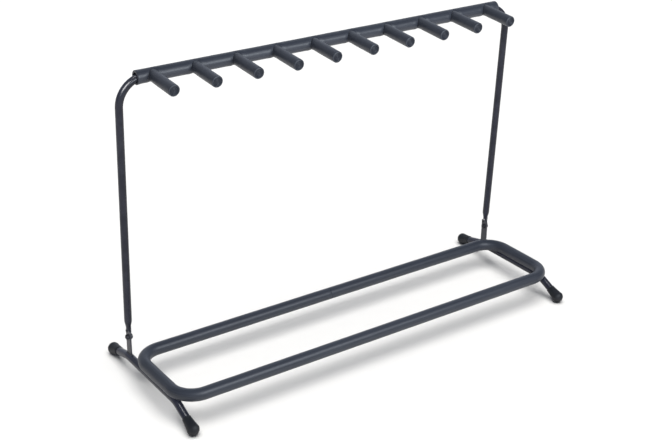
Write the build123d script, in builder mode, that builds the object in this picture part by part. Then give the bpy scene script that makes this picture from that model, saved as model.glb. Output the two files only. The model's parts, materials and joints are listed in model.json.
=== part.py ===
from build123d import *

import os
from math import atan2, cos, hypot, radians, sin, sqrt

# Folding rack for nine guitars, full size, in millimetres.
#
# A U-shaped upper frame of bent steel tube carries a padded rail with ten padded pegs. It folds forward
# about two bolts, one in a strap on each foot. The base is a padded loop of tube bolted across two bent feet.
#
# Frame: origin on the floor under the centre of the rack, +X along the rail to the right, +Y to the back,
# +Z up. The pegs point to the front, which is -Y. "Left" is the -X side.

# ---------------------------------------------------------------- driving dimensions
side_x = 487.8            # plane of each upright, foot and short side of the loop
wall = 1.2                # wall of every steel tube
fit = 0.05                # radial clearance where one piece goes closely in or on another

pivot_y = 97.5            # fold axis, parallel to X
pivot_z = 82.0
lean = 0.65               # forward lean of the upper frame, degrees
rail_height = 568.8       # rail axis above the fold axis, along the uprights
upright_d = 16.0
corner_r = 55.6           # centreline radius of each top corner
stub_end_x = 388.0        # inner end of the upright tube, plugged into the rail tube

rail_tube_d = 19.0
rail_tube_half = 430.0
rail_foam_d = 27.6
rail_foam_half = 451.4
foam_ease = 0.2           # room round an upright where it bends out of the rail's sleeve

peg_count = 10
peg_pitch = 92.7
peg_reach = 92.2          # rail axis to peg tip
peg_droop = 1.4           # below the square of the upper frame, degrees
peg_tube_d = 16.0
peg_foam_d = 24.2
peg_edge_r = 2.4          # rounding of the pad's outer edge at the tip
plug_head_d = 18.0
plug_head_t = 1.5
plug_stem = 10.0
plug_edge_r = 0.8

base_y = -33.6            # centre of the loop
base_z = 54.8
base_tilt = 1.95          # the loop and the middle of the feet fall to the back, degrees
loop_half_y = 102.0
loop_corner_r = 49.6
loop_tube_d = 18.0
loop_foam_d = 26.5
joiner_length = 80.0
butt_gap = 0.1            # half the joint left between two ends that meet

foot_tube_d = 17.0
foot_bend_r = 60.0
foot_front_bend = -73.3   # bend corners, measured back from the middle of the loop
foot_rear_bend = 135.8
foot_tip_y = 173.6        # centre of each cap's round end, front and back
cap_d = 26.6
cap_dome = 12.4           # depth of the round end
cap_taper = 28.0          # length of the taper up the tube
cap_lip = 0.9             # thickness of the cap where the taper ends
cap_flat = 0.35           # depth of the flat that it rests on
tube_in_cap = 3.0         # end of the tube, short of the centre of the round end

bolt_d = 6.0              # pivot bolt, with its running clearance in strap and eye
bolt_gap = 0.05
bolt_head_d, bolt_head_t, bolt_head_r = 11.0, 2.8, 1.4
socket_across_flats, socket_depth = 4.0, 2.0
bolt_tail, bolt_tail_chamfer = 1.0, 0.5
nut_across_flats, nut_t = 10.0, 3.8
nut_collar_t, nut_collar_inset = 1.0, 0.4
nut_gap = 0.02
washer_d, washer_t, washer_gap = 12.0, 1.0, 0.2
disc_d, disc_t, disc_gap = 15.0, 0.6, 0.1
eye_t = 2.5               # flat bar let into the swaged end of the tube
eye_bar_w = 7.0
eye_d = 14.0
eye_top = 36.0            # heights above the fold axis
swage_end, swage_start = 20.0, 42.0
swage_d = 9.8
swage_ease = 9.0          # straight lead at each end of the swage's curve
slot_mouth = 2.0          # the slot for the eye bar runs out past the end of the swage
face_gap = 0.1            # side play each side of the eye

strap_w, strap_t = 18.0, 3.0
strap_top = 15.0          # above the fold axis
strap_corner_r = 6.0
strap_root = 3.0          # how far the strap is cut below the top of the foot, round the tube
stop_d = 3.5              # stop rivet
stop_height = 11.0
stop_gap = 0.3
stop_seat_gap = 0.02
stop_head_d, stop_head_t, stop_head_r = 6.0, 1.5, 0.9
stop_reach = 0.8          # the rivet's plain end, past the eye bar

loop_screw_d, loop_screw_reach = 6.0, 4.0
loop_screw_head_d, loop_screw_head_t = 9.5, 3.0
loop_screw_access_d = 11.0
loop_screw_foam_d = 7.0
loop_screw_spacing = 70.0
rail_screw_x = 412.0
rail_screw_d, rail_screw_length = 5.0, 6.0
rail_screw_head_d, rail_screw_head_t = 9.5, 2.6
rail_screw_access_d = 11.0

# ---------------------------------------------------------------- derived planes and paths
SIDES = {"left": -1, "right": 1}
fwd = radians(lean)
droop = radians(lean + peg_droop)
tilt = radians(base_tilt)

# upper frame: x across, y up along the uprights, z forward
upper_plane = Plane(origin=(0, pivot_y, pivot_z), x_dir=(1, 0, 0), z_dir=(0, -cos(fwd), -sin(fwd)))
rail_centre = upper_plane.from_local_coords((0, rail_height, 0))
# loop: x across, y to the back along the feet, z up
base_plane = Plane(origin=(0, base_y, base_z), x_dir=(1, 0, 0), z_dir=(0, sin(tilt), cos(tilt)))
foot_drop = (loop_tube_d + foot_tube_d) / 2 + fit       # loop axis down to foot axis
eye_in = strap_t / 2 + disc_t + face_gap + eye_t / 2       # eye bar's middle, right of the tube's
eye_face_in = eye_in + eye_t / 2 + face_gap              # right end of the stack on the bolt
foot_foam_gap = 0.25                                     # foam clear of the foot that it is cut round

dome_r = ((cap_d / 2) ** 2 + cap_dome**2) / (2 * cap_dome)
dome_back = dome_r - cap_dome                            # dome's centre behind the tip's


def foot_bend_point(y_local):
    """Corner of the foot's centreline, as (y, z)."""
    p = base_plane.from_local_coords((0, y_local, -foot_drop))
    return (p.Y, p.Z)


def foot_tip_point(y_tip, bend):
    """Centre of a cap's round end, as (y, z), at the height that leaves the flat on the floor."""
    z = dome_r
    for _ in range(4):
        slope = atan2(bend[1] - z, abs(bend[0] - y_tip))
        z = dome_r - cap_flat - dome_back * sin(slope)
    return (y_tip, z)


bend_front, bend_rear = foot_bend_point(foot_front_bend), foot_bend_point(foot_rear_bend)
tip_front, tip_rear = foot_tip_point(-foot_tip_y, bend_front), foot_tip_point(foot_tip_y, bend_rear)


def toward(start, end, distance):
    """The point that far from start on the line to end."""
    k = distance / hypot(end[0] - start[0], end[1] - start[1])
    return (start[0] + (end[0] - start[0]) * k, start[1] + (end[1] - start[1]) * k)


def cross_plane(side, lean_angle, offset=0.0):
    """Plane of a hinge piece on the fold axis: z along the bolt to its nut, on the left, x to the front."""
    return Plane(
        origin=(SIDES[side] * side_x - offset, pivot_y, pivot_z),
        x_dir=(0, -cos(lean_angle), -sin(lean_angle)),
        z_dir=(-1, 0, 0),
    )


def peg_plane(index, distance=0.0):
    """Plane across a peg, its z along the peg, that far from the rail's axis."""
    direction = Vector(0, -cos(droop), -sin(droop))
    x = (index - (peg_count - 1) / 2) * peg_pitch
    origin = Vector(x, rail_centre.Y, rail_centre.Z) + direction * distance
    return Plane(origin=origin, x_dir=(1, 0, 0), z_dir=direction)


def ring(outer_d, inner_d):
    """Section of a tube or sleeve, drawn in the open sketch."""
    Circle(outer_d / 2)
    Circle(inner_d / 2, mode=Mode.SUBTRACT)


def loop_line():
    """Centreline of the loop from the middle of its back, all the way round, drawn in the open line."""
    return FilletPolyline(
        (butt_gap, loop_half_y),
        (side_x, loop_half_y),
        (side_x, -loop_half_y),
        (-side_x, -loop_half_y),
        (-side_x, loop_half_y),
        (-butt_gap, loop_half_y),
        radius=loop_corner_r,
    )


def foot_line(start, end):
    """Centreline of a foot between two points of its front and rear legs, drawn in the open line."""
    return FilletPolyline(start, bend_front, bend_rear, end, radius=foot_bend_r)


def rail_screw_plane(s, depth=0.0):
    """Plane facing back at a rail screw, that far behind the rail's axis."""
    origin = upper_plane.from_local_coords((s * rail_screw_x, rail_height, -depth))
    return Plane(origin=origin, z_dir=-upper_plane.z_dir)


def loop_screw_planes(s, drop=0.0):
    """Planes facing down at the two screws of a foot, that far below the loop's axis."""
    return [
        Plane(origin=base_plane.from_local_coords((s * side_x, y, -drop)), z_dir=-base_plane.z_dir)
        for y in (loop_screw_spacing / 2, -loop_screw_spacing / 2)
    ]


def drill(planes, diameter, depth):
    """Round hole into the open part from each plane's origin, along its z."""
    with Locations(planes):
        Cylinder(diameter / 2, depth, align=(Align.CENTER, Align.CENTER, Align.MIN), mode=Mode.SUBTRACT)


def write(piece, name):
    piece.part.label = name
    export_step(piece.part, f"parts/{name}.step")


os.makedirs("parts", exist_ok=True)

# ---------------------------------------------------------------- upper frame
for side, s in SIDES.items():
    # bent tube: plain stub in the rail, top corner, long leg, swaged lower end
    with BuildPart() as upright_tube:
        with BuildLine(upper_plane):
            path = FilletPolyline(
                (s * stub_end_x, rail_height),
                (s * side_x, rail_height),
                (s * side_x, swage_start),
                radius=corner_r,
            )
        with BuildSketch(Plane(origin=path @ 0, z_dir=path % 0)):
            ring(upright_d, upright_d - 2 * wall)
        sweep(path=path)
        with BuildSketch(upper_plane):
            with BuildLine():
                outer = side_x + upright_d / 2
                inner = side_x + swage_d / 2
                Bezier(
                    (s * outer, swage_start),
                    (s * outer, swage_start - swage_ease),
                    (s * inner, swage_end + swage_ease),
                    (s * inner, swage_end),
                )
                Polyline(
                    (s * inner, swage_end),
                    (s * side_x, swage_end),
                    (s * side_x, swage_start),
                    (s * outer, swage_start),
                )
            make_face()
        leg_axis = Axis(upper_plane.from_local_coords((s * side_x, 0, 0)), upper_plane.y_dir)
        revolve(axis=leg_axis)
        # slot that grips the eye bar
        with BuildSketch(cross_plane(side, fwd, -eye_in)):
            with Locations((0, (eye_top + swage_end - slot_mouth) / 2)):
                Rectangle(eye_bar_w + 2 * fit, eye_top - swage_end + slot_mouth)
        extrude(amount=eye_t / 2 + fit, both=True, mode=Mode.SUBTRACT)
        drill(rail_screw_plane(s), rail_screw_d + 2 * fit, upright_d)
    write(upright_tube, f"{side}_upright_tube")

    # flat bar with the round eye that turns on the pivot bolt
    with BuildPart() as hinge_eye:
        with BuildSketch(cross_plane(side, fwd, -eye_in)):
            with Locations((0, eye_top / 2)):
                Rectangle(eye_bar_w, eye_top)
            Circle(eye_d / 2)
            Circle(bolt_d / 2 + bolt_gap, mode=Mode.SUBTRACT)
        extrude(amount=eye_t / 2, both=True)
    write(hinge_eye, f"{side}_hinge_eye")

rail_plane = Plane(origin=rail_centre, x_dir=upper_plane.y_dir, z_dir=(1, 0, 0))

with BuildPart() as rail_tube:
    with BuildSketch(rail_plane):
        ring(rail_tube_d, rail_tube_d - 2 * wall)
    extrude(amount=rail_tube_half, both=True)
    for s in SIDES.values():
        drill(rail_screw_plane(s), rail_screw_d + 2 * fit, rail_tube_d)
write(rail_tube, "rail_tube")

# foam sleeve, pierced for the pegs and the rail screws, and pressed open by the bend of each upright
with BuildPart() as rail_foam:
    with BuildSketch(rail_plane):
        ring(rail_foam_d, rail_tube_d)
    extrude(amount=rail_foam_half, both=True)
    for s in SIDES.values():
        with BuildLine(upper_plane):
            path = FilletPolyline(
                (s * stub_end_x, rail_height),
                (s * side_x, rail_height),
                (s * side_x, rail_height - 2 * corner_r),
                radius=corner_r,
            )
        with BuildSketch(Plane(origin=path @ 0, z_dir=path % 0)):
            Circle(upright_d / 2 + foam_ease)
        sweep(path=path, mode=Mode.SUBTRACT)
        drill(rail_screw_plane(s), rail_screw_access_d, rail_foam_d)
    for i in range(peg_count):
        drill(peg_plane(i), peg_tube_d + 2 * fit, rail_foam_d)
write(rail_foam, "rail_foam")

# button-head screws that hold the uprights in the rail tube
with BuildPart() as rail_screws:
    for s in SIDES.values():
        with BuildSketch(rail_screw_plane(s, rail_tube_d / 2)):
            Circle(rail_screw_head_d / 2)
        extrude(amount=rail_screw_head_t)
        with BuildSketch(rail_screw_plane(s, rail_tube_d / 2)):
            Circle(rail_screw_d / 2)
        extrude(amount=-rail_screw_length)
write(rail_screws, "rail_screws")

for i in range(peg_count):
    number = f"{i + 1:02d}"

    with BuildPart() as peg_tube:
        with BuildSketch(peg_plane(i)):
            ring(peg_tube_d, peg_tube_d - 2 * wall)
        extrude(amount=peg_reach - plug_head_t)
        with BuildSketch(rail_plane):
            Circle(rail_tube_d / 2)
        extrude(amount=rail_tube_half, both=True, mode=Mode.SUBTRACT)
    write(peg_tube, f"peg_tube_{number}")

    # foam sleeve, coped round the rail's, with a rounded tip and a seat for the plug's head
    with BuildPart() as peg_foam:
        with BuildSketch(peg_plane(i)):
            ring(peg_foam_d, peg_tube_d)
        extrude(amount=peg_reach)
        tip_face = peg_foam.faces().sort_by(Axis.Y)[0]
        rim = tip_face.edges().sort_by(SortBy.RADIUS)[-1]
        fillet(rim, peg_edge_r)
        drill(peg_plane(i, peg_reach - plug_head_t), plug_head_d + 4 * fit, plug_head_t)
        with BuildSketch(rail_plane):
            Circle(rail_foam_d / 2 + fit)
        extrude(amount=rail_foam_half, both=True, mode=Mode.SUBTRACT)
    write(peg_foam, f"peg_foam_{number}")

    with BuildPart() as peg_plug:
        with BuildSketch(peg_plane(i, peg_reach)):
            Circle(plug_head_d / 2)
        extrude(amount=-plug_head_t)
        with BuildSketch(peg_plane(i, peg_reach - plug_head_t)):
            Circle(peg_tube_d / 2 - wall - fit)
        extrude(amount=-plug_stem)
        head = peg_plug.faces().sort_by(Axis.Y)[0]
        fillet(head.edges(), plug_edge_r)
    write(peg_plug, f"peg_plug_{number}")

# ---------------------------------------------------------------- base
with BuildPart() as loop_tube:
    with BuildLine(base_plane):
        path = loop_line()
    with BuildSketch(Plane(origin=path @ 0, z_dir=path % 0)):
        ring(loop_tube_d, loop_tube_d - 2 * wall)
    sweep(path=path)
    for s in SIDES.values():
        drill(loop_screw_planes(s), loop_screw_d + 2 * fit, loop_tube_d)
write(loop_tube, "loop_tube")

# plain spigot inside the tube where its two ends meet
with BuildPart() as loop_joiner:
    middle = base_plane.from_local_coords((0, loop_half_y, 0))
    with BuildSketch(Plane(origin=middle, z_dir=(1, 0, 0))):
        ring(loop_tube_d - 2 * wall - 2 * fit, loop_tube_d - 4 * wall - 2 * fit)
    extrude(amount=joiner_length / 2, both=True)
write(loop_joiner, "loop_joiner")


def loop_foam_sections(kind):
    """Foam on the loop's straight runs (LINE) or on its corners (CIRCLE), each run its own solid.

    It is cut open along the underside of each short side, where the tube beds on the foot.
    """
    with BuildPart() as sections:
        with BuildLine(base_plane):
            path = loop_line()
        for run in path.edges().filter_by(kind):
            end = butt_gap / run.length
            run = run.trim(end, 1 - end)
            with BuildSketch(Plane(origin=run @ 0, z_dir=run % 0)):
                ring(loop_foam_d, loop_tube_d)
            sweep(path=run)
        for s in SIDES.values():
            with BuildLine(Plane.YZ.offset(s * side_x)):
                foot_path = foot_line(tip_front, tip_rear)
            with BuildSketch(Plane(origin=foot_path @ 0, z_dir=foot_path % 0)):
                Circle(foot_tube_d / 2 + foot_foam_gap)
            sweep(path=foot_path, mode=Mode.SUBTRACT)
            drill(loop_screw_planes(s), loop_screw_foam_d, loop_foam_d)
    return sections


write(loop_foam_sections(GeomType.LINE), "loop_foam")
write(loop_foam_sections(GeomType.CIRCLE), "loop_foam_corners")

for side, s in SIDES.items():
    with BuildPart() as foot_tube:
        with BuildLine(Plane.YZ.offset(s * side_x)):
            path = foot_line(
                toward(tip_front, bend_front, tube_in_cap),
                toward(tip_rear, bend_rear, tube_in_cap),
            )
        with BuildSketch(Plane(origin=path @ 0, z_dir=path % 0)):
            ring(foot_tube_d, foot_tube_d - 2 * wall)
        sweep(path=path)
        drill(loop_screw_planes(s), loop_screw_d + 2 * fit, foot_drop)
        drill(loop_screw_planes(s, foot_drop), loop_screw_access_d, foot_tube_d)
    write(foot_tube, f"{side}_foot_tube")

    with BuildPart() as foot_envelope:
        with BuildSketch(Plane(origin=path @ 0, z_dir=path % 0)):
            Circle(foot_tube_d / 2)
        sweep(path=path)

    # rubber boot: taper on the tube, round end, flat where it stands
    for end, tip, bend in (("front", tip_front, bend_front), ("rear", tip_rear, bend_rear)):
        direction = Vector(0, bend[0] - tip[0], bend[1] - tip[1]).normalized()
        # x across the boot, y up the tube
        boot_plane = Plane(
            origin=(s * side_x, *tip),
            x_dir=(1, 0, 0),
            z_dir=(0, -direction.Z, direction.Y),
        )
        with BuildPart() as foot_cap:
            with BuildSketch(boot_plane):
                with BuildLine():
                    Polyline(
                        (0, -cap_dome),
                        (0, tube_in_cap),
                        (foot_tube_d / 2, tube_in_cap),
                        (foot_tube_d / 2, cap_taper),
                        (foot_tube_d / 2 + cap_lip, cap_taper),
                        (cap_d / 2, 0),
                    )
                    ThreePointArc(
                        (cap_d / 2, 0),
                        (dome_r / sqrt(2), dome_back - dome_r / sqrt(2)),
                        (0, -cap_dome),
                    )
                make_face()
            revolve(axis=Axis(boot_plane.origin, direction))
            split(bisect_by=Plane.XY, keep=Keep.TOP)
        write(foot_cap, f"{end}_{side}_foot_cap")

    # strap, welded on the foot at its lower end, that carries the fold bolt
    strap_plane = Plane(
        origin=(s * side_x, pivot_y, pivot_z),
        x_dir=(-s, 0, 0),
        z_dir=(0, s * cos(tilt), -s * sin(tilt)),
    )
    foot_axis_below = base_plane.to_local_coords(Vector(0, pivot_y, pivot_z)).Z + foot_drop
    stop_at = (-(eye_bar_w / 2 + stop_gap + stop_d / 2), stop_height)
    with BuildPart() as hinge_strap:
        with BuildSketch(strap_plane):
            with BuildLine():
                Line((0, foot_tube_d / 2 - strap_root - foot_axis_below), (0, strap_top))
            trace(line_width=strap_t)
        extrude(amount=strap_w / 2, both=True)
        corners = hinge_strap.edges().filter_by(Axis.X).group_by(Axis.Z)[-1]
        fillet(corners, strap_corner_r)
        with BuildSketch(cross_plane(side, 0)):
            Circle(bolt_d / 2 + bolt_gap)
            with Locations(stop_at):
                Circle(stop_d / 2 + stop_seat_gap)
        extrude(amount=strap_t, both=True, mode=Mode.SUBTRACT)
        add(foot_envelope.part, mode=Mode.SUBTRACT)
    write(hinge_strap, f"{side}_hinge_strap")

    # bolt, the same way round in both hinges: button head on the right, then eye, disc, strap, washer, nut
    nut_out = strap_t / 2 + washer_t
    with BuildPart() as pivot_bolt:
        with BuildSketch(cross_plane(side, 0, -eye_face_in)):
            Circle(bolt_d / 2)
        extrude(amount=eye_face_in + nut_out + nut_t + bolt_tail)
        with BuildSketch(cross_plane(side, 0, -eye_face_in)):
            Circle(bolt_head_d / 2)
        extrude(amount=-bolt_head_t)
        head = pivot_bolt.faces().sort_by(Axis.X)[-1]
        fillet(head.edges(), bolt_head_r)
        with BuildSketch(cross_plane(side, 0, -eye_face_in - bolt_head_t)):
            RegularPolygon(radius=socket_across_flats / 2, side_count=6, major_radius=False)
        extrude(amount=socket_depth, mode=Mode.SUBTRACT)
        tail = pivot_bolt.faces().sort_by(Axis.X)[0]
        chamfer(tail.edges(), bolt_tail_chamfer)
    write(pivot_bolt, f"{side}_pivot_bolt")

    with BuildPart() as pivot_nut:
        with BuildSketch(cross_plane(side, 0, nut_out)):
            RegularPolygon(radius=nut_across_flats / 2, side_count=6, major_radius=False)
        extrude(amount=nut_t - nut_collar_t)
        with BuildSketch(cross_plane(side, 0, nut_out + nut_t - nut_collar_t)):
            Circle(nut_across_flats / 2 - nut_collar_inset)
        extrude(amount=nut_collar_t)
        drill(cross_plane(side, 0, nut_out), bolt_d + 2 * nut_gap, nut_t)
    write(pivot_nut, f"{side}_pivot_nut")

    with BuildPart() as pivot_washer:
        with BuildSketch(cross_plane(side, 0, strap_t / 2)):
            ring(washer_d, bolt_d + 2 * washer_gap)
        extrude(amount=washer_t)
    write(pivot_washer, f"{side}_pivot_washer")

    # plastic friction disc between the eye and the strap
    with BuildPart() as friction_disc:
        with BuildSketch(cross_plane(side, 0, -strap_t / 2)):
            ring(disc_d, bolt_d + 2 * disc_gap)
        extrude(amount=-disc_t)
    write(friction_disc, f"{side}_friction_disc")

    # rivet behind the eye bar: the upper frame leans back on it when it is up
    with BuildPart() as stop_rivet:
        with BuildSketch(cross_plane(side, 0, strap_t / 2)):
            with Locations(stop_at):
                Circle(stop_d / 2)
        extrude(amount=-(strap_t / 2 + eye_face_in + stop_reach))
        with BuildSketch(cross_plane(side, 0, strap_t / 2)):
            with Locations(stop_at):
                Circle(stop_head_d / 2)
        extrude(amount=stop_head_t)
        outer = stop_rivet.faces().sort_by(Axis.X)[0]
        fillet(outer.edges(), stop_head_r)
    write(stop_rivet, f"{side}_stop_rivet")

# screws that clamp the loop to the feet, their heads inside the feet above the access holes
screw_seat_up = sqrt((foot_tube_d / 2 - wall) ** 2 - (loop_screw_head_d / 2) ** 2) - fit
with BuildPart() as loop_screws:
    for s in SIDES.values():
        for seat in loop_screw_planes(s, foot_drop - screw_seat_up):
            with BuildSketch(seat):
                Circle(loop_screw_head_d / 2)
            extrude(amount=loop_screw_head_t)
            with BuildSketch(seat):
                Circle(loop_screw_d / 2)
            extrude(amount=-(foot_tube_d / 2 - screw_seat_up + loop_screw_reach))
write(loop_screws, "loop_screws")
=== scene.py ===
"""Looks of a folding rack for nine guitars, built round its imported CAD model.

Soft pieces (foam sleeves, rubber boots) and the peg plugs are modelled here as fine meshes. The steel
tubes, straps and fasteners are the CAD nodes with procedural materials, and two weld beads are added.
Everything is in metres: +X along the rail, +Y to the back, +Z up, "left" is the -X side.
"""

import json
import math

import bpy
from mathutils import Matrix, Vector, noise


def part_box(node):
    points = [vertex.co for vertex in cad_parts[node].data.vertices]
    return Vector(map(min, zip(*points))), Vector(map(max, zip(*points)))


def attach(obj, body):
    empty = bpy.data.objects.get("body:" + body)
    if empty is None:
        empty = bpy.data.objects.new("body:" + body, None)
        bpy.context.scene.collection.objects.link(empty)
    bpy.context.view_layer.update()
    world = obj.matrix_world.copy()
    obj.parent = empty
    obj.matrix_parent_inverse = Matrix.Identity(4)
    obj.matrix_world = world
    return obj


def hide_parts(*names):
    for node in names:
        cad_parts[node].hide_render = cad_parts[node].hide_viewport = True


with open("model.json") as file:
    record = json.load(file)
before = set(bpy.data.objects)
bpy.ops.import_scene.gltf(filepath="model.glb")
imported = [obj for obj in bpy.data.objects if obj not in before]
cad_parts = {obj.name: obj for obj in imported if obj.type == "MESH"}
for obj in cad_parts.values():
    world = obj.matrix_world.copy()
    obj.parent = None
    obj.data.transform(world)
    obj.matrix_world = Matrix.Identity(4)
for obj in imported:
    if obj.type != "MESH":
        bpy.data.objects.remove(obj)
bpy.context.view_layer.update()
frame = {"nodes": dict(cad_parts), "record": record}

MM = 0.001
SIDES = {"left": -1, "right": 1}
ACROSS = Vector((1, 0, 0))


def middle(node):
    low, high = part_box(node)
    return (low + high) / 2


def span(node):
    low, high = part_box(node)
    return high - low


# ---------------------------------------------------------------- places, from the frame
RAIL_AXIS = middle("rail_tube")
RAIL_TUBE_R = span("rail_tube").y / 2
RAIL_FOAM_R = span("rail_foam").y / 2
RAIL_HALF = span("rail_foam").x / 2
SIDE_X = middle("right_foot_tube").x
UPRIGHT_R = 8.0 * MM
CORNER_R = 55.6 * MM                        # centreline radius of the top corners of the uprights
PEG_SLOPE = math.radians(2.05)              # pegs point forward and down by this
PEG_R = span("peg_foam_01").x / 2
PEG_TUBE_R = span("peg_tube_01").x / 2
PLUG_R = span("peg_plug_01").x / 2
PEG_COUNT = sum(name.startswith("peg_tube") for name in frame["nodes"])
PEG_REACH = 92.2 * MM                       # rail axis to peg tip
PEG_AXIS = Vector((0, -math.cos(PEG_SLOPE), -math.sin(PEG_SLOPE)))
PEG_UP = PEG_AXIS.cross(ACROSS)

LOOP_AT = middle("loop_tube")
LOOP_TILT = math.radians(1.95)              # the loop falls to the back
LOOP_TUBE_R = 9.0 * MM
LOOP_R = 13.25 * MM
LOOP_HALF_X = SIDE_X
LOOP_HALF_Y = 102.0 * MM
LOOP_CORNER = 49.6 * MM
LOOP_Y = Vector((0, math.cos(LOOP_TILT), -math.sin(LOOP_TILT)))
LOOP_UP = ACROSS.cross(LOOP_Y)
LOOP_END_RUN = 2 * (LOOP_HALF_Y - LOOP_CORNER)
LOOP_HALF_RUN = LOOP_HALF_X - LOOP_CORNER
LOOP_RUNS = (LOOP_HALF_RUN, LOOP_END_RUN, 2 * LOOP_HALF_RUN, LOOP_END_RUN, LOOP_HALF_RUN)
LOOP_QUARTER = LOOP_CORNER * math.pi / 2    # length of the line round one corner

FOOT_R = span("right_foot_tube").x / 2
FOOT_DROP = LOOP_TUBE_R + FOOT_R + 0.05 * MM
FOOT_BENDS = {"front": -73.3 * MM, "rear": 135.8 * MM}   # along the foot from the loop's middle
BOOT_R = span("front_left_foot_cap").x / 2
BOOT_TIP_Y = 173.6 * MM                     # centre of each boot's round end
BOOT_DOME = 12.4 * MM
BOOT_DOME_R = (BOOT_R**2 + BOOT_DOME**2) / (2 * BOOT_DOME)
BOOT_FLAT = 0.35 * MM                       # how far the round end is pressed flat
DOME_STEPS = 14

STRAP_HALF_WIDTH = 9.0 * MM
STRAP_LEAN = 0.97 * MM                      # how far the strap's foot stands in front of its middle
BOOT_LENGTH = 28.0 * MM                     # from the round end's centre up the tube


# ---------------------------------------------------------------- mesh building
def smoothstep(low, high, value):
    t = min(1.0, max(0.0, (value - low) / (high - low)))
    return t * t * (3 - 2 * t)


def hill(value, width):
    """A smooth hill of height 1 where the value is zero."""
    return math.exp(-((value / width) ** 2))


def spread(low, high, step):
    """Evenly spaced values from low to high, at most step apart."""
    count = max(1, math.ceil(abs(high - low) / step))
    return [low + (high - low) * i / count for i in range(count + 1)]


def make_object(name, verts, faces, uvs):
    """A smooth-shaded piece, its UVs given face by face."""
    mesh = bpy.data.meshes.new(name)
    mesh.from_pydata([tuple(v) for v in verts], [], faces)
    layer = mesh.uv_layers.new(name="along")
    for face in mesh.polygons:
        for loop, uv in zip(face.loop_indices, uvs[face.index]):
            layer.data[loop].uv = uv
    mesh.polygons.foreach_set("use_smooth", [True] * len(mesh.polygons))
    mesh.validate()
    piece = bpy.data.objects.new(name, mesh)
    bpy.context.scene.collection.objects.link(piece)
    return piece


def skin(name, outline, place, segments, closed=True):
    """A turned or swept piece: place(s, r, angle) puts each (s, r) of the outline round its line.

    A closed outline makes a sleeve. An open one starts and ends on the line, and makes a solid.
    The UVs are in metres: along the line, and round it.
    """
    verts, faces, uvs = [], [], []
    rows = []
    for s, r in outline:
        if r < 1e-9:
            rows.append([len(verts)])
            verts.append(place(s, 0.0, 0.0))
        else:
            rows.append(list(range(len(verts), len(verts) + segments)))
            verts += [place(s, r, 2 * math.pi * k / segments) for k in range(segments)]
    pairs = list(zip(range(len(rows)), range(1, len(rows))))
    if closed:
        pairs.append((len(rows) - 1, 0))
    for a, b in pairs:
        low, high = rows[a], rows[b]
        s_a, s_b = outline[a][0], outline[b][0]
        radius = max(outline[a][1], outline[b][1])
        for k in range(segments):
            n = (k + 1) % segments
            v0 = radius * 2 * math.pi * k / segments
            v1 = radius * 2 * math.pi * (k + 1) / segments
            if len(low) == 1:
                faces.append((low[0], high[n], high[k]))
                uvs.append(((s_a, v0), (s_b, v1), (s_b, v0)))
            elif len(high) == 1:
                faces.append((low[k], low[n], high[0]))
                uvs.append(((s_a, v0), (s_a, v1), (s_b, v0)))
            else:
                faces.append((low[k], low[n], high[n], high[k]))
                uvs.append(((s_a, v0), (s_a, v1), (s_b, v1), (s_b, v0)))
    return make_object(name, verts, faces, uvs)


def rounded(s, r, radius, out, steps=5):
    """Points of a quarter round at the outline's corner (s, r), whose signs along s and r are in out."""
    points = []
    for i in range(steps + 1):
        a = math.pi / 2 * i / steps
        points.append((s + out[0] * radius * (math.sin(a) - 1), r + out[1] * radius * (math.cos(a) - 1)))
    return points


# ---------------------------------------------------------------- foam sleeves
def lumps(point, size, seed):
    """Smooth random number from -1 to 1, varying over that size."""
    return noise.noise(point / size + Vector((seed * 7.3, seed * 3.1, seed * 5.7)))


def peg_x(index):
    return middle(f"peg_plug_{index + 1:02d}").x


def bend_drop(x):
    """How far the upright has curved down from the rail's axis at x."""
    past = max(0.0, abs(x) - (SIDE_X - CORNER_R))
    return CORNER_R - math.sqrt(CORNER_R**2 - past**2)


def rail_sleeve():
    """Sleeve on the rail, creased round each peg and pushed out of shape by the uprights at its ends."""
    end, outer_r, bore_r = RAIL_HALF, RAIL_FOAM_R, RAIL_TUBE_R
    end_round, bore_round = 1.1 * MM, 0.8 * MM
    outline = rounded(-end, outer_r, end_round, (-1, 1))[::-1]
    outline += [(x, outer_r) for x in spread(-end + end_round, end - end_round, 3.0 * MM)[1:-1]]
    outline += rounded(end, outer_r, end_round, (1, 1))
    outline += rounded(end, bore_r, bore_round, (1, -1), 3)[::-1]
    outline += [(x, bore_r) for x in spread(end - bore_round, -end + bore_round, 8.0 * MM)[1:-1]]
    outline += rounded(-end, bore_r, bore_round, (-1, -1), 3)
    pegs = [peg_x(i) for i in range(PEG_COUNT)]

    def place(x, r, angle):
        # angle 0 is up, a quarter turn is to the front
        side = Vector((0, -math.sin(angle), math.cos(angle)))
        below = max(0.0, -side.z)
        shift = bend_drop(x)
        reach = r
        if r > RAIL_TUBE_R + 0.5 * MM:
            at = RAIL_AXIS + Vector((x, 0, 0)) + side * r
            reach += 0.16 * MM * lumps(at, 45 * MM, 1) + 0.07 * MM * lumps(at, 12 * MM, 2)
            near = min(pegs, key=lambda p: abs(p - x))
            if side.dot(PEG_AXIS) > 0 and abs(near - x) < 40 * MM:
                height = side.z * math.cos(PEG_SLOPE) + side.y * math.sin(PEG_SLOPE)
                away = math.hypot(near - x, r * height)
                reach -= 1.0 * MM * hill(away - PEG_R, 3.0 * MM)
                reach += 0.35 * MM * hill(away - PEG_R - 7.0 * MM, 4.0 * MM)
            # the bend of the upright pushes the end of the sleeve down
            reach += 0.5 * shift * below**2
        else:
            reach += max(0.0, UPRIGHT_R + shift + 0.35 * MM - r) * below**3
        return RAIL_AXIS + Vector((x, 0, 0)) + side * reach

    return skin("rail_sleeve", outline, place, 64)


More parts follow.
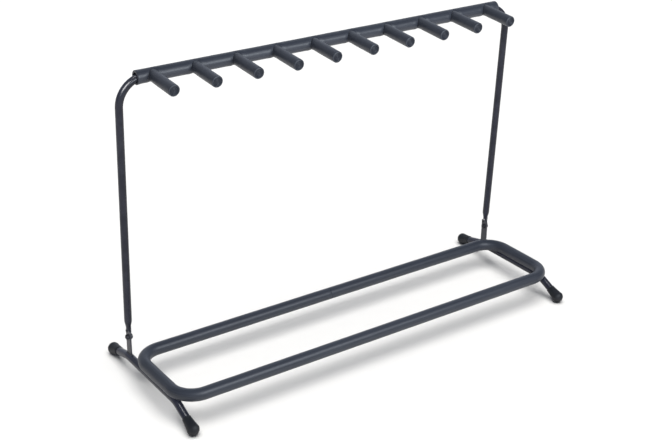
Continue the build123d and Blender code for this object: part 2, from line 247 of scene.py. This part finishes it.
def peg_sleeve(index):
    """Sleeve on a peg, round at its tip and spread a little where it meets the rail's sleeve."""
    tip_round = 2.4 * MM
    length = PEG_REACH
    bore_r = PEG_TUBE_R + 0.05 * MM
    origin = Vector((peg_x(index), RAIL_AXIS.y, RAIL_AXIS.z))
    outline = [(0.0, PEG_R)]
    outline += [(s, PEG_R) for s in spread(0.0, length - tip_round, 3.0 * MM)[1:-1]]
    outline += rounded(length, PEG_R, tip_round, (1, 1), 6)
    outline += [(length - 0.15 * MM, PLUG_R + 0.5 * MM), (length - 1.2 * MM, PLUG_R + 0.15 * MM)]
    outline += [(length - 1.7 * MM, bore_r + 0.05 * MM), (length - 4 * MM, bore_r), (0.0, bore_r)]

    def place(s, r, angle):
        side = ACROSS * math.cos(angle) + PEG_UP * math.sin(angle)
        # the near end is coped to the rail's sleeve and bedded a little into it
        height = r * math.sin(angle)
        start = math.sqrt(RAIL_FOAM_R**2 - height**2) - 0.9 * MM
        along = start + (length - start) * (s / length)
        reach = r
        if r > PEG_TUBE_R + 1 * MM:
            at = origin + PEG_AXIS * along + side * r
            reach += 0.14 * MM * lumps(at, 30 * MM, 3 + index) + 0.06 * MM * lumps(at, 9 * MM, 20 + index)
            reach += 0.5 * MM * hill(along - start, 4.0 * MM)
            reach -= 0.25 * MM * hill(along - start - 9 * MM, 5.0 * MM)
        return origin + PEG_AXIS * along + side * reach

    return skin(f"peg_sleeve_{index + 1:02d}", outline, place, 56)


def on_loop(flat):
    """Direction in space of a flat direction on the loop's plane."""
    return ACROSS * flat.x + LOOP_Y * flat.y


def loop_place(s):
    """Centre, heading and inward direction on the loop's line, that far from the middle of its back."""
    at, turn = Vector((0, LOOP_HALF_Y)), 0.0
    for number, run in enumerate(LOOP_RUNS):
        heading = Vector((math.cos(turn), math.sin(turn)))
        inward = Vector((math.sin(turn), -math.cos(turn)))
        if s <= run or number == len(LOOP_RUNS) - 1:
            at = at + heading * s
            break
        at, s = at + heading * run, s - run
        if s <= LOOP_QUARTER:
            angle = s / LOOP_CORNER
            centre = at + inward * LOOP_CORNER
            at = centre - inward * LOOP_CORNER * math.cos(angle) + heading * LOOP_CORNER * math.sin(angle)
            heading, inward = (
                heading * math.cos(angle) + inward * math.sin(angle),
                inward * math.cos(angle) - heading * math.sin(angle),
            )
            break
        at = at + (heading + inward) * LOOP_CORNER
        s, turn = s - LOOP_QUARTER, turn - math.pi / 2
    return LOOP_AT + on_loop(at), on_loop(heading), on_loop(inward)


def loop_stations():
    """Distances along the loop, close together in the corners, and each corner's range."""
    values, corners, s = [0.0], [], 0.0
    for number, run in enumerate(LOOP_RUNS):
        values += spread(s, s + run, 4.0 * MM)[1:]
        s += run
        if number < len(LOOP_RUNS) - 1:
            corners.append((s, s + LOOP_QUARTER))
            values += spread(s, s + LOOP_QUARTER, 1.3 * MM)[1:]
            s += LOOP_QUARTER
    return values, corners


def foot_line(end):
    """Bend corner and boot centre of one end of a foot, as (y, z)."""
    bend = LOOP_AT + LOOP_Y * FOOT_BENDS[end] - LOOP_UP * FOOT_DROP
    tip_y = -BOOT_TIP_Y if end == "front" else BOOT_TIP_Y
    z = BOOT_DOME_R - BOOT_FLAT
    for _ in range(4):
        slope = math.atan2(bend.z - z, abs(bend.y - tip_y))
        z = BOOT_DOME_R - BOOT_FLAT - (BOOT_DOME_R - BOOT_DOME) * math.sin(slope)
    return Vector((bend.y, bend.z)), Vector((tip_y, z))


FOOT_POINTS = [*reversed(foot_line("front")), *foot_line("rear")]
FOOT_STRETCHES = list(zip(FOOT_POINTS, FOOT_POINTS[1:]))


def clear_of_foot(point):
    """The point moved out of the foot tube below it, with the foam swelling smoothly round the tube."""
    soft, far = 0.35 * MM, 8.0 * MM
    flat = Vector((point.y, point.z))
    beside = point.x - math.copysign(SIDE_X, point.x)
    offsets = []
    for a, b in FOOT_STRETCHES:
        t = min(1.0, max(0.0, (flat - a).dot(b - a) / (b - a).length_squared))
        up_foot = flat - a - (b - a) * t
        offsets.append(Vector((beside, up_foot.x, up_foot.y)))
    away = min(offsets, key=lambda offset: offset.length)
    gap = away.length - FOOT_R
    if gap > far:
        return point
    new_gap = (gap + math.sqrt(gap * gap + 4 * soft * soft)) / 2
    return point + away.normalized() * (new_gap - gap)


def loop_sleeve():
    """Sleeve on the loop, with a seam at the middle of its back and soft folds inside its corners."""
    values, corners = loop_stations()
    total = values[-1]
    seam, seam_round = 0.15 * MM, 0.7 * MM
    bore_r = LOOP_TUBE_R - 0.05 * MM
    outline = rounded(seam, LOOP_R, seam_round, (-1, 1), 4)[::-1]
    outline += [(s, LOOP_R) for s in values if 4 * MM < s < total - 4 * MM]
    outline += rounded(total - seam, LOOP_R, seam_round, (1, 1), 4)
    outline += [(total - seam, bore_r)]
    outline += [(s, bore_r) for s in reversed(values[2:-2:3])]
    outline += [(seam, bore_r)]

    def place(s, r, angle):
        centre, _, inward = loop_place(s)
        side = inward * math.cos(angle) + LOOP_UP * math.sin(angle)
        reach = r
        on_skin = r > LOOP_TUBE_R + 0.5 * MM
        if on_skin:
            at = centre + side * r
            reach += 0.16 * MM * lumps(at, 45 * MM, 40) + 0.06 * MM * lumps(at, 11 * MM, 41)
            for number, (low, high) in enumerate(corners):
                if low - 8 * MM < s < high + 8 * MM:
                    t = (s - low) / (high - low)
                    inside = max(0.0, math.cos(angle - 0.15)) ** 2
                    fade = smoothstep(-0.05, 0.2, t) * (1 - smoothstep(0.8, 1.05, t))
                    phase = 6.2 * lumps(at, 30 * MM, 50 + number)
                    fold = math.sin((s - low) / (7.5 * MM) * 2 * math.pi + phase)
                    reach += fade * inside * (0.07 * MM * fold + 0.2 * MM)
                    outside = max(0.0, -math.cos(angle)) ** 2
                    reach -= 0.3 * MM * fade * outside
        point = centre + side * reach
        if on_skin and abs(abs(point.x) - SIDE_X) < 40 * MM:
            point = clear_of_foot(point)
        return point

    return skin("loop_sleeve", outline, place, 64)


# ---------------------------------------------------------------- plugs, boots, welds
def peg_plug(index):
    """Moulded plug: rounded rim, dish, a raised ring and the raised mark of the mould's gate."""
    tip = Vector((peg_x(index), RAIL_AXIS.y, RAIL_AXIS.z)) + PEG_AXIS * PEG_REACH
    stem_r = PEG_TUBE_R / MM - 1.25
    # (distance past the tip, radius) in millimetres, from the hidden stem out to the rim and in to the middle
    profile = [
        (-11.5, 0), (-11.5, stem_r - 0.8), (-10.7, stem_r), (-1.5, stem_r), (-1.5, 8.95),
        (-0.75, 9.0), (-0.35, 8.85), (-0.08, 8.5), (0.0, 8.2), (-0.03, 7.9), (-0.3, 7.6), (-0.8, 7.4),
        (-1.0, 7.1), (-1.02, 6.0), (-0.9, 5.6), (-0.45, 5.3), (-0.35, 5.0), (-0.45, 4.7), (-0.9, 4.4),
        (-1.0, 4.0), (-1.0, 2.2), (-0.9, 1.9), (-0.5, 1.7), (-0.5, 0.9), (-0.9, 0.6), (-1.0, 0),
    ]

    def place(s, r, angle):
        side = ACROSS * math.cos(angle) + PEG_UP * math.sin(angle)
        return tip + PEG_AXIS * s + side * r

    outline = [(s * MM, r * MM) for s, r in profile]
    return skin(f"peg_end_{index + 1:02d}", outline, place, 48, closed=False)


def boot(end, side):
    """Rubber boot: rolled lip, straight taper, soft shoulder and round end, pressed flat on the floor."""
    bend, tip = foot_line(end)
    heading = (bend - tip).normalized()
    axis = Vector((0, heading.x, heading.y))
    up = axis.cross(ACROSS)
    if up.z < 0:
        up = -up
    centre = Vector((SIDES[side] * SIDE_X, tip.x, tip.y))
    bore = FOOT_R + 0.02 * MM
    lip = FOOT_R + 0.9 * MM
    edge_angle = math.asin(BOOT_R / BOOT_DOME_R)
    outline = []
    for i in range(DOME_STEPS):
        angle = edge_angle * i / DOME_STEPS
        s = BOOT_DOME_R - BOOT_DOME - BOOT_DOME_R * math.cos(angle)
        outline.append((s, BOOT_DOME_R * math.sin(angle)))
    # soft shoulder, then the taper, a little hollow
    outline += [(-0.3 * MM, BOOT_R - 0.06 * MM), (0.5 * MM, BOOT_R - 0.12 * MM)]
    for t in spread(0.06, 0.93, 0.08):
        hollow = 0.35 * MM * math.sin(math.pi * t)
        outline.append((BOOT_LENGTH * t, BOOT_R + (lip - BOOT_R) * t - hollow))
    outline += [
        (BOOT_LENGTH - 1.5 * MM, lip + 0.02 * MM),
        (BOOT_LENGTH - 1.2 * MM, lip + 0.32 * MM),
        (BOOT_LENGTH - 0.5 * MM, lip + 0.36 * MM),
        (BOOT_LENGTH - 0.1 * MM, lip + 0.15 * MM),
        (BOOT_LENGTH, lip - 0.25 * MM),
        (BOOT_LENGTH - 0.2 * MM, bore + 0.05 * MM),
        (BOOT_LENGTH - 0.6 * MM, bore),
        (3.2 * MM, bore),
        (3.0 * MM, bore - 0.3 * MM),
        (3.0 * MM, 0.0),
    ]

    parting_line, soft_z, press = 0.12 * MM, 0.6 * MM, 0.12 * MM

    def place(s, r, angle):
        point = centre + axis * s + (ACROSS * math.cos(angle) + up * math.sin(angle)) * r
        # mould parting line, front to back over the boot
        if s < BOOT_LENGTH - 2 * MM and r > bore + 0.5 * MM:
            outward = math.copysign(1, math.sin(angle))
            point += up * parting_line * hill(math.cos(angle) * r, 0.5 * MM) * outward
        # the rubber flattens where it rests
        if point.z < soft_z:
            point.z = soft_z * math.exp((point.z - soft_z) / soft_z)
            point.z = 0.0 if point.z < press else point.z - press
        return point

    return skin(f"{end}_{side}_boot", outline, place, 56, closed=False)


def foot_top(beside, y):
    """Height of the foot tube's upper surface at that y, that far beside its middle."""
    for a, b in FOOT_STRETCHES:
        if a.x <= y <= b.x:
            slope = math.atan2(b.y - a.y, b.x - a.x)
            axis_z = a.y + (b.y - a.y) * (y - a.x) / (b.x - a.x)
            return axis_z + math.sqrt(max(0.0, FOOT_R**2 - beside**2)) / math.cos(slope)
    return 0.0


def weld_bead(side):
    """Ripples of weld round the foot of the hinge strap, where it stands on the foot tube."""
    low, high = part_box(f"{side}_hinge_strap")
    middle_x = (low.x + high.x) / 2
    middle_y = (low.y + high.y) / 2 - STRAP_LEAN
    bead_r, gap, step, around = 1.5 * MM, 0.3 * MM, 0.45 * MM, 12
    half_x, half_y = (high.x - low.x) / 2, STRAP_HALF_WIDTH
    track = []
    for sign in (1, -1):
        track += [(x, -sign * (half_y + gap)) for x in spread(-sign * half_x, sign * half_x, step)]
        track += [(sign * (half_x + gap), y) for y in spread(-sign * half_y, sign * half_y, step)]
    count = len(track)
    verts, faces, uvs = [], [], []
    for i, (dx, dy) in enumerate(track):
        x, y = middle_x + dx, middle_y + dy
        top = foot_top(x - SIDES[side] * SIDE_X, y)
        ripple = 1 + 0.13 * math.sin(i * 2.1) + 0.12 * lumps(Vector((x, y, 0)), 2.5 * MM, 60)
        reach = bead_r * ripple
        before, after = Vector(track[i - 1]), Vector(track[(i + 1) % count])
        along = (after - before).normalized()
        j = (i + 1) % count
        for k in range(around):
            a, n = 2 * math.pi * k / around, (k + 1) % around
            verts.append(Vector((
                x + along.y * reach * math.cos(a),
                y - along.x * reach * math.cos(a),
                top + 0.2 * MM + reach * 0.9 * math.sin(a),
            )))
            faces.append((i * around + k, i * around + n, j * around + n, j * around + k))
            uvs.append(((i, k), (i, n), (j, n), (j, k)))
    return make_object(f"{side}_strap_weld", verts, faces, uvs)


# ---------------------------------------------------------------- materials
def new_material(name, color, roughness, metallic=0.0):
    """The material with its nodes, links and shader."""
    material = bpy.data.materials.new(name)
    material.use_nodes = True
    nodes = material.node_tree.nodes
    shader = nodes["Principled BSDF"]
    shader.inputs["Base Color"].default_value = (*color, 1)
    shader.inputs["Roughness"].default_value = roughness
    shader.inputs["Metallic"].default_value = metallic
    return material, nodes, material.node_tree.links, shader


def node(nodes, kind, **inputs):
    made = nodes.new(kind)
    for key, value in inputs.items():
        made.inputs[key.replace("_", " ")].default_value = value
    return made


def texture(nodes, links, source, kind, scale, stretch=(1, 1, 1), **inputs):
    """A noise or Voronoi texture, its coordinates stretched by stretch."""
    mapping = nodes.new("ShaderNodeMapping")
    mapping.inputs["Scale"].default_value = stretch
    links.new(source, mapping.inputs["Vector"])
    made = node(nodes, kind, Scale=scale, **inputs)
    links.new(mapping.outputs["Vector"], made.inputs["Vector"])
    return made


def ramp(nodes, links, source, stops):
    """Colour ramp over (position, grey or colour) stops."""
    made = nodes.new("ShaderNodeValToRGB")
    elements = made.color_ramp.elements
    while len(elements) < len(stops):
        elements.new(0.5)
    for element, (position, value) in zip(elements, stops):
        element.position = position
        element.color = (*value, 1) if isinstance(value, tuple) else (value, value, value, 1)
    links.new(source, made.inputs["Fac"])
    return made.outputs["Color"]


def mix(nodes, links, factor, a, b, kind="MIX"):
    """Mix of two colours, each of a, b and the factor a socket or a plain value."""
    made = nodes.new("ShaderNodeMix")
    made.data_type = "RGBA"
    made.blend_type = kind
    for socket, value in ((made.inputs["Factor"], factor), (made.inputs["A"], a), (made.inputs["B"], b)):
        if isinstance(value, bpy.types.NodeSocket):
            links.new(value, socket)
        else:
            socket.default_value = value
    return made.outputs["Result"]


def bump_from(nodes, links, heights, shader):
    """Chains bump nodes, (source, strength, distance) each, into the shader's normal."""
    normal = None
    for source, strength, distance in heights:
        made = node(nodes, "ShaderNodeBump", Strength=strength, Distance=distance)
        links.new(source, made.inputs["Height"])
        if normal:
            links.new(normal, made.inputs["Normal"])
        normal = made.outputs["Normal"]
    links.new(normal, shader.inputs["Normal"])


def foam_material(name):
    """Closed-cell foam sleeve: charcoal skin with a fine pebble, faint lengthwise drag lines and mottling."""
    material, nodes, links, shader = new_material(name, (0.035, 0.038, 0.048), 0.62)
    place = nodes.new("ShaderNodeTexCoord").outputs["Object"]
    uv = nodes.new("ShaderNodeUVMap")
    uv.uv_map = "along"
    cells = texture(nodes, links, place, "ShaderNodeTexVoronoi", 900.0)
    grain = texture(nodes, links, place, "ShaderNodeTexNoise", 420.0, Detail=5.0, Roughness=0.6)
    mottle = texture(nodes, links, place, "ShaderNodeTexNoise", 26.0, Detail=3.0, Roughness=0.5)
    lines = texture(nodes, links, uv.outputs["UV"], "ShaderNodeTexNoise", 1.0, (9, 620, 1), Detail=3.0)
    dark, pale = (0.019, 0.022, 0.031), (0.026, 0.030, 0.041)
    dark_line, pale_line = (0.015, 0.017, 0.025), (0.038, 0.043, 0.056)
    base = ramp(nodes, links, mottle.outputs["Fac"], [(0.3, dark), (0.7, pale)])
    drawn = ramp(nodes, links, lines.outputs["Fac"], [(0.3, dark_line), (0.72, pale_line)])
    lined = mix(nodes, links, 0.6, base, drawn)
    speckle = ramp(nodes, links, cells.outputs["Distance"], [(0.0, 0.72), (0.45, 1.0)])
    links.new(mix(nodes, links, 0.6, lined, speckle, "MULTIPLY"), shader.inputs["Base Color"])
    dull = ramp(nodes, links, grain.outputs["Fac"], [(0.3, 0.38), (0.7, 0.52)])
    links.new(dull, shader.inputs["Roughness"])
    shader.inputs["Specular IOR Level"].default_value = 0.40
    shader.inputs["Sheen Weight"].default_value = 0.04
    shader.inputs["Sheen Roughness"].default_value = 0.5
    bump_from(nodes, links, [
        (grain.outputs["Fac"], 0.35, 0.0003),
        (cells.outputs["Distance"], 0.25, 0.0002),
        (lines.outputs["Fac"], 0.12, 0.0003),
    ], shader)
    return material


def paint_material(name, color, roughness, peel):
    """Powder coat: orange-peel ripple, faint dust and rubbed patches."""
    material, nodes, links, shader = new_material(name, color, roughness)
    place = nodes.new("ShaderNodeTexCoord").outputs["Object"]
    ripple = texture(nodes, links, place, "ShaderNodeTexNoise", 330.0, Detail=2.0)
    rubbed = texture(nodes, links, place, "ShaderNodeTexNoise", 38.0, Detail=5.0, Roughness=0.65)
    dust = texture(nodes, links, place, "ShaderNodeTexNoise", 1400.0, Detail=1.0)
    lighter = tuple(c * 1.5 + 0.004 for c in color)
    base = ramp(nodes, links, rubbed.outputs["Fac"], [(0.35, color), (0.75, lighter)])
    flecks = ramp(nodes, links, dust.outputs["Fac"], [(0.76, 0.0), (0.9, 0.06)])
    links.new(mix(nodes, links, flecks, base, (0.11, 0.11, 0.12, 1)), shader.inputs["Base Color"])
    links.new(
        ramp(nodes, links, rubbed.outputs["Fac"], [(0.35, roughness), (0.8, roughness + 0.03)]),
        shader.inputs["Roughness"],
    )
    shader.inputs["Specular IOR Level"].default_value = 0.28
    bump_from(nodes, links, [(ripple.outputs["Fac"], peel, 0.0004)], shader)
    return material


def worn_metal_material(name, color, roughness):
    """Blackened steel fastener: darker coat with brighter, smoother steel rubbed through on the edges."""
    material, nodes, links, shader = new_material(name, color, roughness, 0.75)
    place = nodes.new("ShaderNodeTexCoord").outputs["Object"]
    blotch = texture(nodes, links, place, "ShaderNodeTexNoise", 260.0, Detail=4.0, Roughness=0.6)
    edge = nodes.new("ShaderNodeNewGeometry")
    convex = ramp(nodes, links, edge.outputs["Pointiness"], [(0.52, 0.0), (0.6, 0.7)])
    base = ramp(nodes, links, blotch.outputs["Fac"], [(0.3, color), (0.75, tuple(c * 2.2 for c in color))])
    links.new(mix(nodes, links, convex, base, (0.10, 0.10, 0.11, 1)), shader.inputs["Base Color"])
    links.new(
        ramp(nodes, links, blotch.outputs["Fac"], [(0.3, roughness), (0.8, roughness + 0.18)]),
        shader.inputs["Roughness"],
    )
    bump_from(nodes, links, [(blotch.outputs["Fac"], 0.15, 0.0002)], shader)
    return material


def moulded_material(name, color, roughness, grain_scale, scuff):
    """Moulded rubber or plastic: fine spark-eroded grain, with scuffed and dusty patches."""
    material, nodes, links, shader = new_material(name, color, roughness)
    place = nodes.new("ShaderNodeTexCoord").outputs["Object"]
    grain = texture(nodes, links, place, "ShaderNodeTexNoise", grain_scale, Detail=3.0)
    patches = texture(nodes, links, place, "ShaderNodeTexNoise", 70.0, Detail=5.0, Roughness=0.65)
    lighter = tuple(c + scuff for c in color)
    base = ramp(nodes, links, patches.outputs["Fac"], [(0.42, color), (0.78, lighter)])
    speck = ramp(nodes, links, grain.outputs["Fac"], [(0.3, 0.8), (0.65, 1.0)])
    links.new(mix(nodes, links, 0.7, base, speck, "MULTIPLY"), shader.inputs["Base Color"])
    links.new(
        ramp(nodes, links, patches.outputs["Fac"], [(0.4, roughness), (0.8, min(0.95, roughness + 0.2))]),
        shader.inputs["Roughness"],
    )
    shader.inputs["Specular IOR Level"].default_value = 0.3
    bump_from(nodes, links, [(grain.outputs["Fac"], 0.3, 0.00025)], shader)
    return material


foam = foam_material("foam")
gloss_paint = paint_material("gloss_paint", (0.004, 0.0045, 0.008), 0.23, 0.02)
strap_paint = paint_material("strap_paint", (0.040, 0.040, 0.046), 0.38, 0.05)
fastener = worn_metal_material("fastener", (0.014, 0.014, 0.017), 0.36)
disc_plastic = moulded_material("disc_plastic", (0.014, 0.014, 0.016), 0.55, 1500.0, 0.01)
plug_plastic = moulded_material("plug_plastic", (0.008, 0.011, 0.019), 0.34, 1300.0, 0.006)
boot_rubber = moulded_material("boot_rubber", (0.008, 0.009, 0.012), 0.48, 1100.0, 0.008)

LOOK_OF_SLOT = {
    "black_paint": gloss_paint,
    "bracket_paint": strap_paint,
    "black_hardware": fastener,
    "black_plastic": disc_plastic,
    "foam_sleeve": foam,
    "boot_rubber": boot_rubber,
}


# ---------------------------------------------------------------- pieces
def wear(piece, material):
    piece.data.materials.clear()
    piece.data.materials.append(material)


for part in frame["record"]["subparts"]:
    shown = frame["nodes"][part["node"]]
    for material_slot in shown.material_slots:
        material_slot.material = LOOK_OF_SLOT[part["material_slot"]]

rail = rail_sleeve()
wear(rail, foam)
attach(rail, "upright_frame")
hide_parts("rail_foam")

for i in range(PEG_COUNT):
    sleeve = peg_sleeve(i)
    wear(sleeve, foam)
    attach(sleeve, "upright_frame")
    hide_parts(f"peg_foam_{i + 1:02d}")

    plug = peg_plug(i)
    wear(plug, plug_plastic)
    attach(plug, "upright_frame")
    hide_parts(f"peg_plug_{i + 1:02d}")

loop = loop_sleeve()
wear(loop, foam)
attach(loop, "base")
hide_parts("loop_foam", "loop_foam_corners")

for side in SIDES:
    for end in ("front", "rear"):
        rubber = boot(end, side)
        wear(rubber, boot_rubber)
        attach(rubber, "base")
        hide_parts(f"{end}_{side}_foot_cap")

for side in SIDES:
    weld = weld_bead(side)
    wear(weld, strap_paint)
    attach(weld, "base")

# ---------------------------------------------------------------- floor, light, camera
FLOOR_HALF = 20.0
floor_mesh = bpy.data.meshes.new("floor")
floor_corners = [(x * FLOOR_HALF, y * FLOOR_HALF, 0) for x, y in ((-1, -1), (1, -1), (1, 1), (-1, 1))]
floor_mesh.from_pydata(floor_corners, [], [(0, 1, 2, 3)])
floor = bpy.data.objects.new("floor", floor_mesh)
bpy.context.scene.collection.objects.link(floor)
floor_paint, _, _, floor_shader = new_material("floor_paint", (0.30, 0.30, 0.30), 0.9)
floor_shader.inputs["Specular IOR Level"].default_value = 0.0
floor.data.materials.append(floor_paint)

world = bpy.data.worlds.new("studio")
bpy.context.scene.world = world
world.use_nodes = True
sky, sky_links = world.node_tree.nodes, world.node_tree.links


def glow(towards, start, strength):
    """Extra brightness of the surroundings, rising smoothly round one direction."""
    aim = sky.new("ShaderNodeVectorMath")
    aim.operation = "DOT_PRODUCT"
    sky_links.new(sky.new("ShaderNodeTexCoord").outputs["Generated"], aim.inputs[0])
    aim.inputs[1].default_value = Vector(towards).normalized()
    rise = sky.new("ShaderNodeMapRange")
    rise.interpolation_type = "SMOOTHSTEP"
    rise.inputs["From Min"].default_value = start
    rise.inputs["To Max"].default_value = strength
    sky_links.new(aim.outputs["Value"], rise.inputs["Value"])
    return rise.outputs["Result"]


# An even room, brighter towards a white wall behind and a pale side at the front left
AMBIENT = 0.22
glows, room = sky.new("ShaderNodeMath"), sky.new("ShaderNodeMath")
sky_links.new(glow((0.35, 1.0, 0.0), 0.1, 0.8), glows.inputs[0])
sky_links.new(glow((-0.75, -0.65, 0.35), 0.2, 0.42), glows.inputs[1])
sky_links.new(glows.outputs["Value"], room.inputs[0])
room.inputs[1].default_value = AMBIENT
sky["Background"].inputs["Color"].default_value = (0.86, 0.93, 1.08, 1)
sky_links.new(room.outputs["Value"], sky["Background"].inputs["Strength"])


def light_only(lamp, targets, only=True):
    """The lamp lights just the targets, or everything but them. Every piece still casts its shadow."""
    group = bpy.data.collections.new(lamp.name + "_targets")
    for target in targets:
        group.objects.link(target)
    for member in group.collection_objects:
        member.light_linking.link_state = "INCLUDE" if only else "EXCLUDE"
    lamp.light_linking.receiver_collection = group


def add_lamp(light, at, towards):
    """The light as an object that the camera can't see, at one point and turned to another."""
    lamp = bpy.data.objects.new(light.name, light)
    lamp.location = at
    lamp.rotation_mode = "QUATERNION"
    lamp.rotation_quaternion = (Vector(at) - Vector(towards)).to_track_quat("Z", "Y")
    lamp.visible_camera = False
    bpy.context.scene.collection.objects.link(lamp)
    return lamp


# A wide overhead light gives the floor its white and its soft shadows
overhead = bpy.data.lights.new("overhead", "SUN")
overhead.energy = 10.2
overhead.color = (1.0, 0.985, 0.955)
overhead.angle = math.radians(66)
light_only(add_lamp(overhead, (0, -0.25, 3.0), (0, 0, 0)), [floor])

# A long low softbox in front gives the tubes their highlight bands
softbox = bpy.data.lights.new("softbox", "AREA")
softbox.shape = "RECTANGLE"
softbox.size, softbox.size_y = 1.6, 0.5
softbox.energy = 37
softbox.color = (0.88, 0.94, 1.0)
light_only(add_lamp(softbox, (0.22, -1.40, 1.22), (-0.2, 0.1, 0.62)), [floor], only=False)

# Two distant lights draw the streaks on the glossy tubes, one from overhead and one from the front left
tubes = [frame["nodes"][f"{side}_{tube}_tube"] for side in SIDES for tube in ("upright", "foot")]
for name, source, energy, angle in (
    ("streak_feet", (-0.08, 0.1, 0.99), 1.0, 15),
    ("streak_bends", (-0.56, -0.58, 0.60), 7.5, 34),
):
    streak = bpy.data.lights.new(name, "SUN")
    streak.energy, streak.angle = energy, math.radians(angle)
    light_only(add_lamp(streak, source, (0, 0, 0)), tubes)

CAMERA_AT = Vector((-1.47265, -1.99680, 1.51764))
CAMERA_AZIMUTH = math.radians(-35.728)
CAMERA_ELEVATION = math.radians(26.748)
CAMERA_ROLL = math.radians(1.987)
cam_data = bpy.data.cameras.new("camera")
cam_data.lens = 68.80
cam_data.sensor_width = 36.0
camera = bpy.data.objects.new("camera", cam_data)
bpy.context.scene.collection.objects.link(camera)
camera.matrix_world = (
    Matrix.Translation(CAMERA_AT)
    @ Matrix.Rotation(CAMERA_AZIMUTH, 4, "Z")
    @ Matrix.Rotation(math.pi / 2 - CAMERA_ELEVATION, 4, "X")
    @ Matrix.Rotation(CAMERA_ROLL, 4, "Z")
)
bpy.context.scene.camera = camera
bpy.context.scene.view_settings.view_transform = "Standard"
